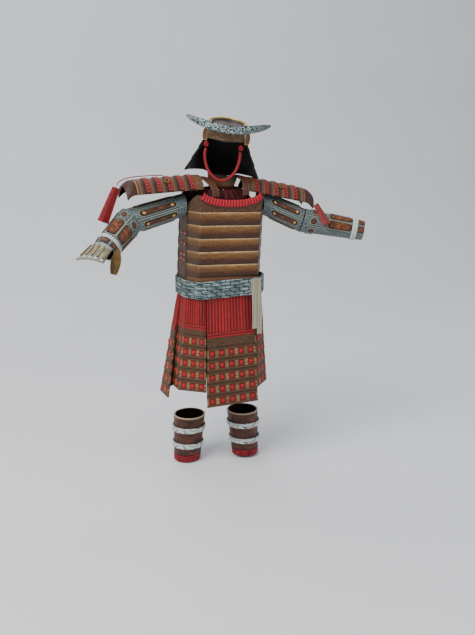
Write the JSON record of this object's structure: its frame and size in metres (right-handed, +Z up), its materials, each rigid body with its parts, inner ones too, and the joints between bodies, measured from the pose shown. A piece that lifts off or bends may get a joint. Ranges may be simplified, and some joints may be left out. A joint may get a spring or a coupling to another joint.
{
  "type": "lamellar armour suit",
  "caption": "Hollow suit of lamellar armour as worn: horned helmet, laced cuirass with sash, shoulder guards, mail sleeves, skirt of hanging tassets and shin guards.",
  "frame": {"origin": "between the shoulders, at the height where the two shoulder straps carry the suit", "axes": "+Z up, the armour faces -Y, +X towards the wearer's left"},
  "size_m": [0.205, 0.0588, 0.2448],
  "materials": {
    "lame_card": "card printed as brown lacquered lames, matt",
    "dark_card": "card printed as dark brown lames with red lacing, matt",
    "lacing_card": "card printed as red lacing, matt",
    "collar_card": "fluted card printed as a red cloth ring, matt",
    "inner_collar_card": "pleated card printed as dark red cloth, matt",
    "steel_card": "card printed as worn steel, matt",
    "gold_card": "card printed as gilt metal, satin",
    "mail_card": "card printed as mail with brown splints, matt",
    "sash_card": "card printed as a woven grey-blue sash, matt",
    "tie_card": "card printed as off-white cloth ties, matt",
    "shin_card": "card printed as brown shin guards, matt",
    "red_cord": "thin red cord"
  },
  "bodies": {
    "root": {"cuirass_front": "lame_card", "cuirass_back": "lame_card", "shoulder_guard_right": "lame_card", "shoulder_guard_left": "lame_card", "helmet_brow": "lame_card", "helmet_wing_right": "lame_card", "helmet_wing_left": "lame_card", "throat_guard": "lame_card", "cuirass_side_right": "dark_card", "cuirass_side_left": "dark_card", "tasset_centre": "dark_card", "tasset_front_right": "dark_card", "tasset_front_left": "dark_card", "tasset_side_right": "dark_card", "tasset_side_left": "dark_card", "tasset_back_right": "dark_card", "tasset_back_left": "dark_card", "shoulder_strap_right": "dark_card", "shoulder_strap_left": "dark_card", "helmet_crown": "dark_card", "helmet_neck_guard": "dark_card", "sash_band": "sash_card", "sash_end_inner": "tie_card", "sash_end_outer": "tie_card", "wrist_tie_right": "tie_card", "wrist_tie_left": "tie_card", "shin_tie_lower_right": "tie_card", "shin_tie_upper_right": "tie_card", "shin_tie_lower_left": "tie_card", "shin_tie_upper_left": "tie_card", "collar_ring": "collar_card", "inner_collar": "inner_collar_card", "sleeve_upper_right": "mail_card", "sleeve_fore_right": "mail_card", "sleeve_upper_left": "mail_card", "sleeve_fore_left": "mail_card", "tassel_right": "lacing_card", "tassel_left": "lacing_card", "temple_knot_right": "lacing_card", "temple_knot_left": "lacing_card", "shin_hem_right": "lacing_card", "shin_hem_left": "lacing_card", "guard_cord_right": "red_cord", "chin_cord": "red_cord", "guard_ring_right": "gold_card", "guard_ring_left": "gold_card", "thumb_guard": "gold_card", "helmet_rim": "gold_card", "hand_guard": "steel_card", "helmet_crest": "steel_card", "shin_guard_right": "shin_card", "shin_guard_left": "shin_card"}
  },
  "joints": []
}
